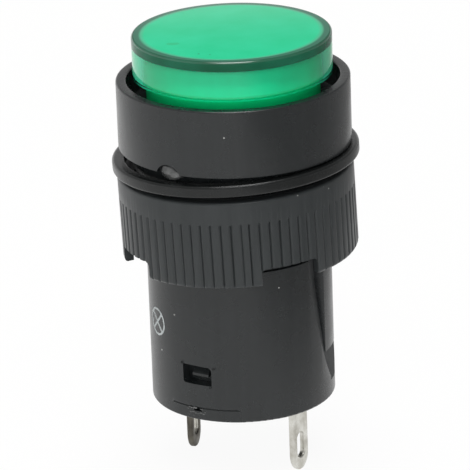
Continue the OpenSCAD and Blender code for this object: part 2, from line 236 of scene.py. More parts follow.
def clearGreen():
    # polished acrylic dyed right through: nearly clear where it is thin, deep green along its length.
    # A lamp's light goes straight through it to the cup behind.
    look = wallLook
    material, tree = newMaterial("clear green acrylic")
    surface = addNode(tree, "ShaderNodeBsdfPrincipled", {"Base Color": hexColor(look["tint"]),
        "Roughness": look["roughness"], "IOR": look["ior"], "Transmission Weight": 1.0,
        "Specular IOR Level": look["gloss"]})
    clear = addNode(tree, "ShaderNodeBsdfTransparent", {"Color": hexColor(look["shadow"])})
    path = addNode(tree, "ShaderNodeLightPath")
    mixed = addNode(tree, "ShaderNodeMixShader", {0: path.outputs["Is Shadow Ray"], 1: surface.outputs[0],
        2: clear.outputs[0]})
    volume = addNode(tree, "ShaderNodeVolumeAbsorption", {"Color": hexColor(look["depth"]),
        "Density": look["density"]})
    addNode(tree, "ShaderNodeOutputMaterial", {"Surface": mixed.outputs[0], "Volume": volume.outputs[0]})
    return material


# the foot's colour, painted shade of the bezel's well, gives way to the wall's between two heights
cupLook = {"dark": "08f0da", "pale": "1cfce8", "foot": "00b46e", "wellShadeFade": (5.5, 5.9), "streakGrain": 1.11,
    "streakStretch": 0.12, "cloudGrain": 3.85, "roughness": 0.6, "ior": 1.49, "gloss": 0.1}


def milkyGreen():
    # dyed, light-spreading polypropylene: saturated, faintly streaked along the draw, with painted shade at
    # its foot, a deeper green where it sits in the bezel's well
    look = cupLook
    material, tree = newMaterial("milky green polypropylene")
    place = addNode(tree, "ShaderNodeTexCoord").outputs["Object"]
    along = addNode(tree, "ShaderNodeMapping", {"Vector": place, "Scale": (1, 1, look["streakStretch"])})
    streak = addNode(tree, "ShaderNodeTexNoise", {"Vector": along.outputs[0],
        "Scale": noiseScale(look["streakGrain"]), "Detail": 3})
    cloud = addNode(tree, "ShaderNodeTexNoise", {"Vector": place, "Scale": noiseScale(look["cloudGrain"]),
        "Detail": 3})
    both = addNode(tree, "ShaderNodeMath", {0: streak.outputs["Fac"], 1: cloud.outputs["Fac"]},
        operation="ADD")
    wall = twoTone(tree, both.outputs[0], look["dark"], look["pale"], start=0.7, end=1.3)
    height = addNode(tree, "ShaderNodeSeparateXYZ", {0: place}).outputs["Z"]
    fadeLow, fadeHigh = look["wellShadeFade"]
    above = addNode(tree, "ShaderNodeMapRange", {"Value": height, "From Min": fadeLow * mm,
        "From Max": fadeHigh * mm, "To Min": 0, "To Max": 1})
    color = addNode(tree, "ShaderNodeMix", {"Factor": above.outputs["Result"], "A": hexColor(look["foot"]),
        "B": wall}, data_type="RGBA")
    return surfaced(material, tree, {"Base Color": color.outputs["Result"], "Roughness": look["roughness"],
        "IOR": look["ior"], "Specular IOR Level": look["gloss"]})


tinLook = {"grain": 0.909, "bump": 0.25, "bumpHeight": 0.01}


def tinned(name, bright, dull, roughness):
    # hot-tinned metal: bright but cloudy, with dull smudges
    material, tree = newMaterial(name)
    place = addNode(tree, "ShaderNodeTexCoord").outputs["Object"]
    cloud = addNode(tree, "ShaderNodeTexNoise", {"Vector": place, "Scale": noiseScale(tinLook["grain"]),
        "Detail": 4, "Roughness": 0.6}).outputs["Fac"]
    bump = addNode(tree, "ShaderNodeBump", {"Strength": tinLook["bump"],
        "Distance": tinLook["bumpHeight"] * mm, "Height": cloud})
    return surfaced(material, tree, {"Base Color": twoTone(tree, cloud, bright, dull), "Metallic": 1.0,
        "Roughness": spread(tree, cloud, *roughness), "Normal": bump.outputs[0]})


def mottled(name, dark, pale, grain, roughness, metallic=0.0, gloss=0.5):
    # plain finish with a soft variation of tone, duller where it is paler
    material, tree = newMaterial(name)
    place = addNode(tree, "ShaderNodeTexCoord").outputs["Object"]
    cloud = addNode(tree, "ShaderNodeTexNoise", {"Vector": place, "Scale": noiseScale(grain),
        "Detail": 3}).outputs["Fac"]
    return surfaced(material, tree, {"Base Color": twoTone(tree, cloud, dark, pale),
        "Roughness": spread(tree, cloud, *roughness), "Metallic": metallic, "Specular IOR Level": gloss})


finishes = {
    "blackAbs": mouldedBlack("moulded black ABS", housingLook),
    "nutAbs": mouldedBlack("moulded black ABS of the nut", nutLook),
    "eroded": mottled("black ABS off a spark-eroded mould face", "2b2d2e", "323435", 0.833, (0.7, 0.78)),
    "rubber": mottled("black nitrile rubber", "0e1010", "141616", 1.43, (0.22, 0.3), gloss=0.38),
    "lens": clearGreen(),
    "lensFace": satinGreen(),
    "lensEdge": denseGreen("dense green acrylic edge", 0.15),
    "lensArris": denseGreen("polished arris of the acrylic", 1.0),
    "diffuser": milkyGreen(),
    "blade": tinned("tinned brass", "dfded8", "b4b1a7", (0.24, 0.42)),
    # a darker copy of the tinned brass: painted shade on the left blade
    "shadedTin": tinned("tinned brass in painted shade", "6b6860", "4c4842", (0.39, 0.57)),
    "wire": tinned("tinned copper wire", "cfcfc9", "a9a59a", (0.19, 0.37)),
    "solder": mottled("solder", "b9bbb9", "d2d3d1", 1.11, (0.22, 0.3), metallic=1.0),
    "board": mottled("solder mask", "2a6340", "33724a", 2.0, (0.35, 0.43)),
    "resin": mottled("pale green epoxy", "aee0c0", "bdecd0", 3.33, (0.12, 0.2)),
    "nylon": mottled("white nylon", "e2dfd4", "ebe8de", 2.5, (0.5, 0.58)),
    "lacquer": mottled("tan lacquer", "c2a06e", "ccae80", 1.67, (0.3, 0.38)),
    "epoxy": mottled("black moulded epoxy", "212325", "2a2c2e", 1.67, (0.35, 0.43)),
    "ink": mottled("white marking ink", "9fa5a6", "b3b8b9", 0.4, (0.6, 0.68)),
    "torn": mottled("torn black ABS", "2b2c2c", "5c5d5d", 0.667, (0.2, 0.28)),
}
print("materials made,", len(finishes))


# shared modelling steps
def moved(x, y, z):
    return Matrix.Translation(Vector((x, y, z)) * mm)


def turned(degrees, axis):
    return Matrix.Rotation(math.radians(degrees), 4, axis)


def bearingTurn(bearing):
    # takes the X axis to a bearing
    return turned(bearing - 90, "Z")


def around(away, bearing, height):
    # the point at a bearing, away from the axis
    angle = math.radians(bearing - 90)
    return away * mm * math.cos(angle), away * mm * math.sin(angle), height * mm


upright = Matrix(((1, 0, 0, 0), (0, 0, -1, 0), (0, 1, 0, 0), (0, 0, 0, 1)))  # outline x and y to X and Z


def facingOut(away, height=0):
    # outline x and y to Y and Z, and its depth outwards along X
    return Matrix(((0, 0, 1, away * mm), (1, 0, 0, 0), (0, 1, 0, height * mm), (0, 0, 0, 1)))


def roundedOutline(corners, arcSteps=6):
    # corners are (x, y, rounding); a rounded one becomes an arc that touches both of its sides
    points = []
    for k, (x, y, rounding) in enumerate(corners):
        here = Vector((x, y))
        before = Vector(corners[k - 1][:2]) - here
        after = Vector(corners[(k + 1) % len(corners)][:2]) - here
        if rounding == 0:
            points.append(here)
            continue
        half = before.angle(after) / 2
        inwards = (before.normalized() + after.normalized()).normalized()
        centre = here + inwards * rounding / math.sin(half)
        start = (here + before.normalized() * rounding / math.tan(half) - centre).normalized()
        end = (here + after.normalized() * rounding / math.tan(half) - centre).normalized()
        points += [centre + start.slerp(end, step / arcSteps) * rounding for step in range(arcSteps + 1)]
    return points


def outlineLoop(bm, points, plane):
    # plane says where the outline's two axes lie
    verts = [bm.verts.new(plane @ Vector((x * mm, y * mm, 0))) for x, y in points]
    return verts, [bm.edges.new((verts[k - 1], verts[k])) for k in range(len(verts))]


def closeUp(bm, nearest=0.0004):
    # merges what lies nearer than that, and faces everything outwards
    bmesh.ops.remove_doubles(bm, verts=bm.verts, dist=nearest * mm)
    bmesh.ops.dissolve_degenerate(bm, edges=bm.edges, dist=nearest / 2 * mm)
    bmesh.ops.recalc_face_normals(bm, faces=bm.faces)
    return bm


def placed(bm, matrix):
    bmesh.ops.transform(bm, matrix=matrix, verts=bm.verts)
    return bm


def spun(corners, steps=256):
    # a closed outline in the radius-height plane, turned all the way round the axis
    bm = bmesh.new()
    verts, edges = outlineLoop(bm, roundedOutline(corners), upright)
    bmesh.ops.spin(bm, geom=verts + edges, cent=(0, 0, 0), axis=(0, 0, 1), angle=math.tau, steps=steps,
        use_merge=True)
    return closeUp(bm)


def extruded(points, plane, depth):
    # a filled outline pushed along the plane's own normal
    bm = bmesh.new()
    verts, _ = outlineLoop(bm, points, plane)
    grown = bmesh.ops.extrude_face_region(bm, geom=[bm.faces.new(verts)])
    tops = [v for v in grown["geom"] if isinstance(v, bmesh.types.BMVert)]
    bmesh.ops.translate(bm, vec=plane.to_3x3() @ Vector((0, 0, depth * mm)), verts=tops)
    return closeUp(bm)


def ridgeSection(foot, footWide, crest, crestWide, height):
    # a thread's ridge in the radius-height plane, with flanks near 60 degrees
    return [(foot, height - footWide / 2), (crest, height - crestWide / 2),
        (crest, height + crestWide / 2), (foot, height + footWide / 2)]


def helicalRidge(section, pitch, turns, stepsPerTurn=96):
    # a right-hand ridge of a closed section that climbs round the axis
    bm = bmesh.new()
    verts, _ = outlineLoop(bm, section, upright)
    bm.faces.new(verts)
    bmesh.ops.spin(bm, geom=bm.faces[:], cent=(0, 0, 0), axis=(0, 0, 1), angle=math.tau * turns,
        dvec=(0, 0, pitch * mm / stepsPerTurn), steps=int(turns * stepsPerTurn), use_merge=False)
    return closeUp(bm)


def cutOff(bm, onPlane, outward):
    # what lies past a plane goes, and the cut is filled
    cut = bmesh.ops.bisect_plane(bm, geom=bm.verts[:] + bm.edges[:] + bm.faces[:], plane_co=onPlane,
        plane_no=outward, clear_outer=True)
    rim = [e for e in cut["geom_cut"] if isinstance(e, bmesh.types.BMEdge)]
    bmesh.ops.holes_fill(bm, edges=rim, sides=0)


def trimmed(bm, low, high):
    for height, outward in ((low, -1), (high, 1)):
        cutOff(bm, (0, 0, height * mm), (0, 0, outward))
    return closeUp(bm)


def looseObject(name, bm):
    mesh = bpy.data.meshes.new(name)
    bm.to_mesh(mesh)
    bm.free()
    item = bpy.data.objects.new(name, mesh)
    bpy.context.scene.collection.objects.link(item)
    return item


def combined(bm, others, operation="DIFFERENCE"):
    # bm with the others cut away from it, or joined to it
    base = looseObject("base", bm)
    tools = [looseObject("tool", other) for other in others]
    for tool in tools:
        step = base.modifiers.new("step", "BOOLEAN")
        step.operation, step.object, step.solver = operation, tool, "EXACT"
    result = bmesh.new()
    result.from_object(base, bpy.context.evaluated_depsgraph_get())
    for item in (base, *tools):
        mesh = item.data
        bpy.data.objects.remove(item)
        bpy.data.meshes.remove(mesh)
    return closeUp(result)


def finished(name, bm, body, coats, replaced=None, sharp=32):
    # coats are finishes, in the order of the faces' material numbers; edges past the sharp angle stay crisp
    piece = looseObject(name, bm)
    piece.data.shade_smooth()
    piece.data.set_sharp_from_angle(angle=math.radians(sharp))
    for coat in coats:
        piece.data.materials.append(finishes[coat])
    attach(piece, body)
    if replaced:
        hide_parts(replaced)


# housing: bezel, threaded barrel and body in one moulding. A nick is its bearing, its height and its radius
housing = {
    "rimWidth": 0.8, "wellDepth": 2.2, "socketRadius": 6.8, "seat": -1.0, "boreRadius": 6.245, "collar": 1.5,
    "barrelEnd": -7.5, "neckTop": -8.05, "neckLow": -8.32, "neckDepth": 0.3,
    "seamRound": 0.1, "seamLap": 0.05, "seamGape": (-50, -3),
    "crest": 7.95, "root": 7.36, "pitch": 1.0, "threadTop": -2.0, "ridgeSunk": 0.15, "ridgeFoot": 0.92,
    "ridgeCrest": 0.14, "spareThread": 1.5, "runOut": 0.39,
    "flatBearing": 78, "flatDepth": 1.05, "flatRise": 0.1, "flatBend": -10.8, "flatEnd": -19.3,
    "keyWidth": 3.6, "keyEnd": -16.5,
    "windowBearing": -30.4, "windowWidth": 2.5, "windowHeight": 1.55, "windowCentre": -16.86,
    "windowRounds": (0.22, 0.05, 0.42, 0.05),
    "gateBearing": -35.2, "gateRadius": 1.12, "gateSink": 0.36, "gateDepth": 0.55,
    "nicks": ((-18.5, -16.14, 0.13), (-40.9, -16.02, 0.16), (-21.2, -17.72, 0.12)),
    "nickSlant": 35, "nickShape": (0.8, 1.3, 0.7)}


def housingBody():
    h = housing
    wellRadius, wellFloor = bezelRadius - h["rimWidth"], rimTop - h["wellDepth"]
    neckRadius = bodyRadius - h["neckDepth"]
    bm = spun([
        (h["boreRadius"], seam, 0), (bodyRadius, seam, h["seamRound"]),
        (bodyRadius, seam + 3 * h["seamRound"], 0),  # keeps the shading even above the seam
        (bodyRadius, h["neckLow"], 0.02), (neckRadius, h["neckLow"], 0.05),
        (neckRadius, h["neckTop"], 0.05), (bodyRadius, h["neckTop"], 0.02),
        (bodyRadius, h["barrelEnd"], 0.04), (h["root"], h["barrelEnd"], 0.05),
        (h["root"], -h["collar"], 0.1), (h["crest"], -h["collar"], 0.12), (h["crest"], 0, 0.1),
        (bezelRadius, 0, 0.09), (bezelRadius, rimTop, 0.16), (wellRadius, rimTop, 0.12),
        (wellRadius, wellFloor, 0.1), (h["socketRadius"], wellFloor, 0.06),
        (h["socketRadius"], h["seat"], 0), (h["boreRadius"], h["seat"], 0)])
    # the joint with the plug gapes between two bearings; elsewhere the rounding is drawn down to lap it
    gapeStart, gapeEnd = h["seamGape"]
    margin = h["seamRound"] + 0.01
    for vert in bm.verts:
        away = vert.co.xy.length
        bearing = math.degrees(math.atan2(vert.co.x, -vert.co.y))
        onRound = vert.co.z < (seam + margin) * mm and away > (bodyRadius - margin) * mm
        if onRound and not gapeStart < bearing < gapeEnd:
            vert.co.xy *= bodyRadius * mm / away
            vert.co.z = (seam - h["seamLap"]) * mm
    return closeUp(bm)


def barrelThread():
    # the ridge's foot is sunk in the barrel so that the two join without a gap
    h = housing
    start = h["barrelEnd"] - h["spareThread"]
    section = ridgeSection(h["root"] - h["ridgeSunk"], h["ridgeFoot"], h["crest"], h["ridgeCrest"], start)
    turns = (h["threadTop"] - start) / h["pitch"] + 1
    ridge = trimmed(helicalRidge(section, h["pitch"], turns), h["barrelEnd"], h["threadTop"])
    # both ends of the thread run out on a chamfer, cut by a ring that reaches past the crest
    foot, reach, clear = h["root"] + 0.05, h["crest"] + 0.5, 0.2
    rise = h["runOut"] * (reach - foot) / (h["crest"] - foot)
    chamfers = [spun([(foot, edge - clear * inward, 0), (reach, edge - clear * inward, 0),
        (reach, edge + rise * inward, 0), (foot, edge, 0)], steps=96)
        for edge, inward in ((h["barrelEnd"], 1), (h["threadTop"], -1))]
    return combined(ridge, chamfers)


def flatDistance(height):
    # how far the flat lies from the axis: nearly upright down to its bend, then out to the body's skin
    h = housing
    deep = bodyRadius - h["flatDepth"]
    if height > h["flatBend"]:
        return deep + h["flatRise"] * (height - h["barrelEnd"]) / (h["flatBend"] - h["barrelEnd"])
    share = (height - h["flatBend"]) / (h["flatEnd"] - h["flatBend"])
    return deep + h["flatRise"] + (h["flatDepth"] - h["flatRise"]) * share


def flatCutter():
    # a block off the side of the body, with the key left standing in it
    h = housing
    start, reach, wide = h["barrelEnd"], bodyRadius + 1, 16
    flanks = [(flatDistance(height), height) for height in (start, h["flatBend"], h["flatEnd"])]
    block = extruded(flanks + [(reach, h["flatEnd"]), (reach, start)], moved(0, wide / 2, 0) @ upright, wide)
    keyFoot = bodyRadius - h["flatDepth"] - 1
    key = extruded([(keyFoot, h["keyEnd"]), (reach + 1, h["keyEnd"]), (reach + 1, start + 1),
        (keyFoot, start + 1)], moved(0, h["keyWidth"] / 2, 0) @ upright, h["keyWidth"])
    return placed(combined(block, [key]), bearingTurn(h["flatBearing"]))


def windowCutter(turn):
    # the mould's insert left two corners round, one more than the other
    h = housing
    wide, tall = h["windowWidth"] / 2, h["windowHeight"] / 2
    corners = ((-wide, -tall), (wide, -tall), (wide, tall), (-wide, tall))
    outline = roundedOutline([(*corner, rounding) for corner, rounding in zip(corners, h["windowRounds"])])
    cutter = extruded(outline, facingOut(h["boreRadius"] - 1, h["windowCentre"]), 3)
    return placed(cutter, bearingTurn(h["windowBearing"] + turn))


def gateCutter():
    # the round recess that the gate was torn from
    h = housing
    bm = bmesh.new()
    radius, depth = h["gateRadius"] * mm, 2
    aim = moved(bezelRadius - h["gateDepth"] + depth / 2, 0, -h["gateSink"]) @ turned(90, "Y")
    bmesh.ops.create_cone(bm, cap_ends=True, segments=48, radius1=radius, radius2=radius, depth=depth * mm,
        matrix=bearingTurn(h["gateBearing"]) @ aim)
    return bm


def nickCutter(bearing, height, radius):
    # a chip in the skin
    bm = bmesh.new()
    place = bearingTurn(bearing) @ moved(bodyRadius, 0, height)
    shape = turned(housing["nickSlant"], "X") @ Matrix.Diagonal((*housing["nickShape"], 1))
    bmesh.ops.create_icosphere(bm, subdivisions=2, radius=radius * mm, matrix=place @ shape)
    return bm


def dulledFlat(bm):
    # the flat came off a spark-eroded face of the mould, so it is duller than the turned surfaces
    h, near = housing, 0.02
    towardsFlat = bearingTurn(h["flatBearing"]) @ Vector((1, 0, 0))
    for face in bm.faces:
        middle = face.calc_center_median() / mm
        onRun = h["barrelEnd"] > middle.z > h["flatEnd"]
        if onRun and abs(middle.dot(towardsFlat) - flatDistance(middle.z)) < near:
            face.material_index = 1
    return bm


shell = combined(housingBody(), [barrelThread()], "UNION")
shell = combined(shell, [flatCutter(), windowCutter(0), windowCutter(180), gateCutter()])
shell = combined(shell, [nickCutter(*nick) for nick in housing["nicks"]])
finished("lamp_housing", dulledFlat(shell), "housing", ["blackAbs", "eroded"], "housing",
    sharp=20)
print("housing made")

# stub of the gate, torn off with pliers: each tear is a direction and how far out it cuts a unit ball
stub = {"bearing": -34.1, "out": 8.68, "up": 0.13, "size": (0.46, 1.02, 0.62), "longEdge": 0.25,
    "lumps": 2.3, "lumpHeight": 0.1, "tears": [
        ((0.9, -0.25, 0.45), 0.72), ((0.75, 0.5, -0.1), 0.74), ((0.8, -0.1, -0.7), 0.74),
        ((0.3, -0.9, 0.1), 0.8), ((0.5, 0.1, 0.9), 0.78), ((0.35, 0.85, 0.6), 0.76),
        ((0.6, -0.7, -0.5), 0.8), ((0.4, 0.7, -0.8), 0.82)]}


def tornStub():
    bm = bmesh.new()
    bmesh.ops.create_icosphere(bm, subdivisions=4, radius=mm)
    for direction, reach in stub["tears"]:
        away = Vector(direction).normalized()
        cutOff(bm, away * reach * mm, away)
    bmesh.ops.triangulate(bm, faces=bm.faces)
    bmesh.ops.subdivide_edges(bm, edges=[e for e in bm.edges if e.calc_length() > stub["longEdge"] * mm],
        cuts=3, use_grid_fill=True)
    for vert in bm.verts:
        lump = noise.noise(vert.co / mm * stub["lumps"]) * stub["lumpHeight"]
        vert.co += vert.co.normalized() * lump * mm
    place = bearingTurn(stub["bearing"]) @ moved(stub["out"], 0, stub["up"])
    return closeUp(placed(bm, place @ Matrix.Diagonal((*stub["size"], 1))))


finished("gate_stub", tornStub(), "housing", ["torn"], sharp=25)

# flash: crumbs of plastic squeezed out where the plug snapped home. A crumb is its bearing, its height on
# the body, its width, how tall it is and how proud it stands
flash = {"lumps": 1.6, "lumpShare": 0.55, "crumbs": [
    (-32.6, -19.6, 0.34, 0.15, 0.09), (-34.9, -19.63, 0.28, 0.1, 0.07), (-37.6, -19.75, 0.22, 0.12, 0.05),
    (-35.6, -20.0, 0.3, 0.12, 0.045), (-31.8, -20.02, 0.2, 0.12, 0.05), (-27.6, -19.66, 0.26, 0.1, 0.06),
    (-28.3, -19.98, 0.2, 0.12, 0.05), (-25.4, -19.88, 0.16, 0.09, 0.04), (-33.4, -20.26, 0.2, 0.1, 0.04),
    (-36.4, -19.62, 0.24, 0.12, 0.06), (-33.7, -19.95, 0.24, 0.12, 0.05), (-30.2, -20.05, 0.2, 0.1, 0.05),
    (-36.8, -20.2, 0.2, 0.1, 0.04), (-26.5, -20.05, 0.18, 0.1, 0.04), (-24.0, -19.7, 0.16, 0.08, 0.04)]}


def seamFlash():
    bm = bmesh.new()
    for k, (bearing, height, wide, tall, proud) in enumerate(flash["crumbs"]):
        crumb = bmesh.ops.create_icosphere(bm, subdivisions=3, radius=mm)["verts"]
        for vert in crumb:
            # the shift gives each crumb lumps of its own
            lump = noise.noise(vert.co / mm * flash["lumps"] + Vector((7 * k, 0, 0)))
            vert.co *= 1 + flash["lumpShare"] * lump
        place = bearingTurn(bearing) @ moved(bodyRadius, 0, height)
        shape = Matrix.Diagonal((proud, wide / 2, tall / 2, 1))
        bmesh.ops.transform(bm, matrix=place @ shape, verts=crumb)
    return closeUp(bm)


finished("seam_flash", seamFlash(), "housing", ["torn"])

# lens: a thick face on a thin wall
lens = {"face": 0.75, "wall": 0.98, "edge": 0.2, "foot": 0.02, "innerRound": 0.08}


def lensCap():
    outer, top, bottom = lensHigh.x, lensHigh.z, lensLow.z
    inner, ceiling = outer - lens["wall"], top - lens["face"]
    cap = spun([(0, top, 0), (outer, top, lens["edge"]), (outer, ceiling, 0), (outer, bottom, lens["foot"]),
        (inner, bottom, lens["foot"]), (inner, ceiling, lens["innerRound"]), (0, ceiling, 0)])
    # coats: 1 satin face, 2 dense edge, 3 its polished arris, and 0 clear for the rest
    for face in cap.faces:
        middle = face.calc_center_median() / mm
        if middle.z > ceiling and middle.xy.length > outer - lens["edge"] - 0.02:
            face.material_index = 3 if 0.3 < face.normal.z < 0.92 else 2
        elif face.normal.z > 0.9 and middle.z > top - 0.01:
            face.material_index = 1
    return cap


finished("lens_cap", lensCap(), "housing", ["lens", "lensFace", "lensEdge", "lensArris"],
    "lens")

# diffuser: the cup inside the lens
diffuser = {"wall": 0.8, "edge": 0.35, "innerRound": 0.2}


def diffuserCup():
    outer, top, bottom = cupHigh.x, cupHigh.z, cupLow.z
    inner, ceiling = outer - diffuser["wall"], top - diffuser["wall"]
    return spun([(0, top, 0), (outer, top, diffuser["edge"]), (outer, bottom, 0), (inner, bottom, 0),
        (inner, ceiling, diffuser["innerRound"]), (0, ceiling, 0)])


finished("diffuser_cup", diffuserCup(), "housing", ["diffuser"], "diffuser")
print("lens and diffuser made")

# sealing ring, loose and aslant two ways
ring = {"outer": 9.55, "inner": 8.6, "thick": 0.94, "height": -0.98, "leanSide": 2.7, "leanFront": 1.08,
    "innerRound": 0.15, "lowRound": 0.2, "topRound": 0.26}


def sealingRing():
    r = ring
    half = r["thick"] / 2
    bm = spun([(r["inner"], -half, r["innerRound"]), (r["outer"], -half, r["lowRound"]),
        (r["outer"], half, r["topRound"]), (r["inner"], half, r["innerRound"])])
    return placed(bm, moved(0, 0, r["height"]) @ turned(-r["leanFront"], "X") @ turned(-r["leanSide"], "Y"))


finished("sealing_ring", sealingRing(), "ring", ["rubber"], "gasket")
print("sealing ring made")

# lock nut: plain band, serrated skirt with four spanner notches, thread inside. Its foot and shoulder end the
# ridges in steps: a height over the skirt's end or the band's, an inset, and the share of a ridge that shows
nut = {"radius": 9.15, "top": -1.83, "height": 6.93, "band": 1.8, "topEdge": 0.25, "lean": 1.9,
    "pitchAngle": 5, "mouldShift": 1.3, "ridge": 0.15, "uneven": 0.6, "valleyPower": 6, "pointsPerRidge": 10,
    "skirtBore": 8.42, "bore": 8.07, "leadIn": 0.3, "threadHeight": 4.0, "threadSunk": 0.12,
    "threadFoot": 0.8, "threadCrest": 7.85, "threadTip": 0.12,
    "notchBearing": 24.65, "notchArc": 29.5, "notchHeight": 1.36, "notchRound": 0.35,
    "foot": ((0, 0.23, 0), (0.05, 0.12, 0.3), (0.14, 0.0525, 0.75), (0.28, 0, 1)),
    "shoulder": ((-0.1, 0, 1), (-0.02, 0, 0.92), (0, 0, 0))}


def valleyBearings():
    # the two halves of the mould meet a little off pitch, which leaves one narrow ridge on either side
    step, shift = nut["pitchAngle"], nut["mouldShift"]
    perHalf = round(180 / step)
    right = [step * k for k in range(1, perHalf + 2)]
    left = [180 + step + shift + step * k for k in range(perHalf)]
    return right + left


def skirtOutline():
    # a bearing and a depth under the full radius for each point: sharp valleys between round ridges
    n = nut
    valleys = valleyBearings()
    points = []
    for k, (start, end) in enumerate(zip(valleys, valleys[1:] + [valleys[0] + 360])):
        depth = n["ridge"] * min(1, (end - start) / n["pitchAngle"])
        # the cutter that made the mould left no two ridges quite alike
        uneven = 1 + n["uneven"] * noise.noise(Vector((0.37 * k, 0.5, 0.5)))
        for step in range(n["pointsPerRidge"]):
            part = step / n["pointsPerRidge"]
            flank = abs(2 * part - 1) ** n["valleyPower"]
            points.append((start + (end - start) * part, depth * flank * (uneven if step else 1)))
    return points


def loopEdges(bm, loop):
    return [bm.edges.get((loop[k - 1], loop[k])) for k in range(len(loop))]


def nextLoop(bm, loop):
    # extrudes a loop of verts, and gives the new ones in the order of the old
    grown = bmesh.ops.extrude_edge_only(bm, edges=loopEdges(bm, loop))["geom"]
    old, partner = set(loop), {}
    for vert in grown:
        if isinstance(vert, bmesh.types.BMVert):
            below = next(e.other_vert(vert) for e in vert.link_edges if e.other_vert(vert) in old)
            partner[below] = vert
    return [partner[v] for v in loop]


def nutBody():
    # a stack of loops, each a height, an inset from the full radius and the share of the ridges that shows
    n = nut
    radius, top = n["radius"], n["top"]
    low, bandLow, shelf = top - n["height"], top - n["band"], top - n["threadHeight"]
    skirtWall, boreWall = radius - n["skirtBore"], radius - n["bore"]
    foot = [(low, skirtWall, 0)] + [(low + rise, inset, share) for rise, inset, share in n["foot"]]
    shoulder = [(bandLow + rise, inset, share) for rise, inset, share in n["shoulder"]]
    edge = n["topEdge"]
    quarter = [math.radians(90 * k / 5) for k in range(6)]
    arris = [(top - edge + edge * math.sin(a), edge - edge * math.cos(a), 0) for a in quarter]
    inside = [(top, boreWall - n["leadIn"], 0), (top - n["leadIn"], boreWall, 0), (shelf, boreWall, 0),
        (shelf, skirtWall, 0)]
    outline = skirtOutline()
    bm = bmesh.new()
    bmesh.ops.create_circle(bm, cap_ends=False, segments=len(outline), radius=radius * mm)
    first = loop = list(bm.verts)
    for k, (height, inset, share) in enumerate(foot + shoulder + arris + inside):
        loop = nextLoop(bm, loop) if k else first
        for vert, (bearing, depth) in zip(loop, outline):
            vert.co = around(radius - inset - depth * share, bearing, height)
    # the last loop meets the first along the skirt's inner wall
    bmesh.ops.bridge_loops(bm, edges=loopEdges(bm, loop) + loopEdges(bm, first))
    return closeUp(bm)


def notchCutter(bearing):
    n = nut
    low, half = n["top"] - n["height"], n["radius"] * math.sin(math.radians(n["notchArc"] / 2))
    high, rounding = low + n["notchHeight"], n["notchRound"]
    outline = roundedOutline([(-half, low - 1, 0), (half, low - 1, 0), (half, high, rounding),
        (-half, high, rounding)])
    return placed(extruded(outline, facingOut(n["bore"] - 1), 4), bearingTurn(bearing))


def nutThread():
    # half a pitch away from the ridge on the barrel, so that it lies in its groove
    n, pitch = nut, housing["pitch"]
    low, high = n["top"] - n["threadHeight"], n["top"]
    start = housing["barrelEnd"] - housing["spareThread"] + pitch / 2
    start += math.floor((low - start) / pitch) * pitch
    foot, clear = n["bore"] + n["threadSunk"], 0.02
    section = ridgeSection(foot, n["threadFoot"], n["threadCrest"], n["threadTip"], start)
    ridge = helicalRidge(section, pitch, (high - start) / pitch + 1)
    return trimmed(ridge, low + clear, high - clear)


def lockNut():
    n = nut
    bm = combined(nutBody(), [notchCutter(n["notchBearing"] + 90 * k) for k in range(4)])
    bm = combined(bm, [nutThread()], "UNION")
    pivot = moved(0, 0, n["top"] - n["threadHeight"] / 2)
    return placed(bm, pivot @ turned(-n["lean"], "Y") @ pivot.inverted())


finished("serrated_nut", lockNut(), "nut", ["nutAbs"], "lock_nut", sharp=38)
print("lock nut made")

# terminals: stamped blades with broken edges. A side is its bearing, its turn on the spot and its finish
blade = {"width": 2.0, "thick": 0.5, "out": 5.94, "pitchRadius": 4.9, "shoulder": 2.6, "tongue": 1.0,
    "tongueTop": -11.75, "slotWidth": 0.9, "slotLength": 2.05, "slotLow": 1.08, "tipHeight": 1.37,
    # the left blade takes the darker copy of the tin, as painted shade; the right one takes the plain tin
    "edge": 0.15, "sides": {"left": (237, 13, "shadedTin"), "right": (57, -3, "blade")}}


def terminal(bearing, turn):
    b = blade
    tip, half = plugLow.z - b["out"], b["width"] / 2
    tongue, shoulder = b["tongue"] / 2, plugLow.z + b["shoulder"]
    # the tip is half an ellipse
    arc = [math.radians(-180 + 180 * k / 24) for k in range(25)]
    point = [(half * math.cos(a), tip + b["tipHeight"] * (1 + math.sin(a))) for a in arc]
    upper = [(half, shoulder), (tongue, shoulder), (tongue, b["tongueTop"]), (-tongue, b["tongueTop"]),
        (-tongue, shoulder), (-half, shoulder)]
    strip = extruded(point + upper, facingOut(-b["thick"] / 2), b["thick"])
    slotHalf, slotLow = b["slotWidth"] / 2, tip + b["slotLow"]
    slotHigh, slotRound = slotLow + b["slotLength"], slotHalf * 0.98
    slotOutline = roundedOutline([(-slotHalf, slotLow, slotRound), (slotHalf, slotLow, slotRound),
        (slotHalf, slotHigh, slotRound), (-slotHalf, slotHigh, slotRound)], arcSteps=8)
    bm = combined(strip, [extruded(slotOutline, facingOut(-b["thick"] / 2 - 1), 3)])
    arrises = [e for e in bm.edges if len(e.link_faces) == 2 and e.calc_face_angle(0) > math.radians(60)]
    bmesh.ops.bevel(bm, geom=arrises, offset=b["edge"] * mm, affect="EDGES", segments=3, profile=0.5,
        material=-1, clamp_overlap=True)
    # the slot's walls keep the plain bright tin on the darker blade: painted light where the walls catch the
    # light
    near = 0.02
    for face in bm.faces:
        middle = face.calc_center_median() / mm
        inSlot = abs(middle.y) < slotHalf + near and slotLow - near < middle.z < slotHigh + near
        face.material_index = int(inSlot and abs(face.normal.x) < 0.5)
    return placed(bm, bearingTurn(bearing) @ moved(b["pitchRadius"], 0, 0) @ turned(turn, "Z"))


for side, (bearing, turn, finish) in blade["sides"].items():
    finished("blade_" + side, terminal(bearing, turn), "housing", [finish, "blade"],
        "terminal_" + side, sharp=40)
print("terminals made")

# marking on the body: the common sign for a lamp, a ring with a cross in it
mark = {"bearing": -65, "height": -13.5, "radius": 1.12, "stroke": 0.17, "thick": 0.012, "apart": 0.004}


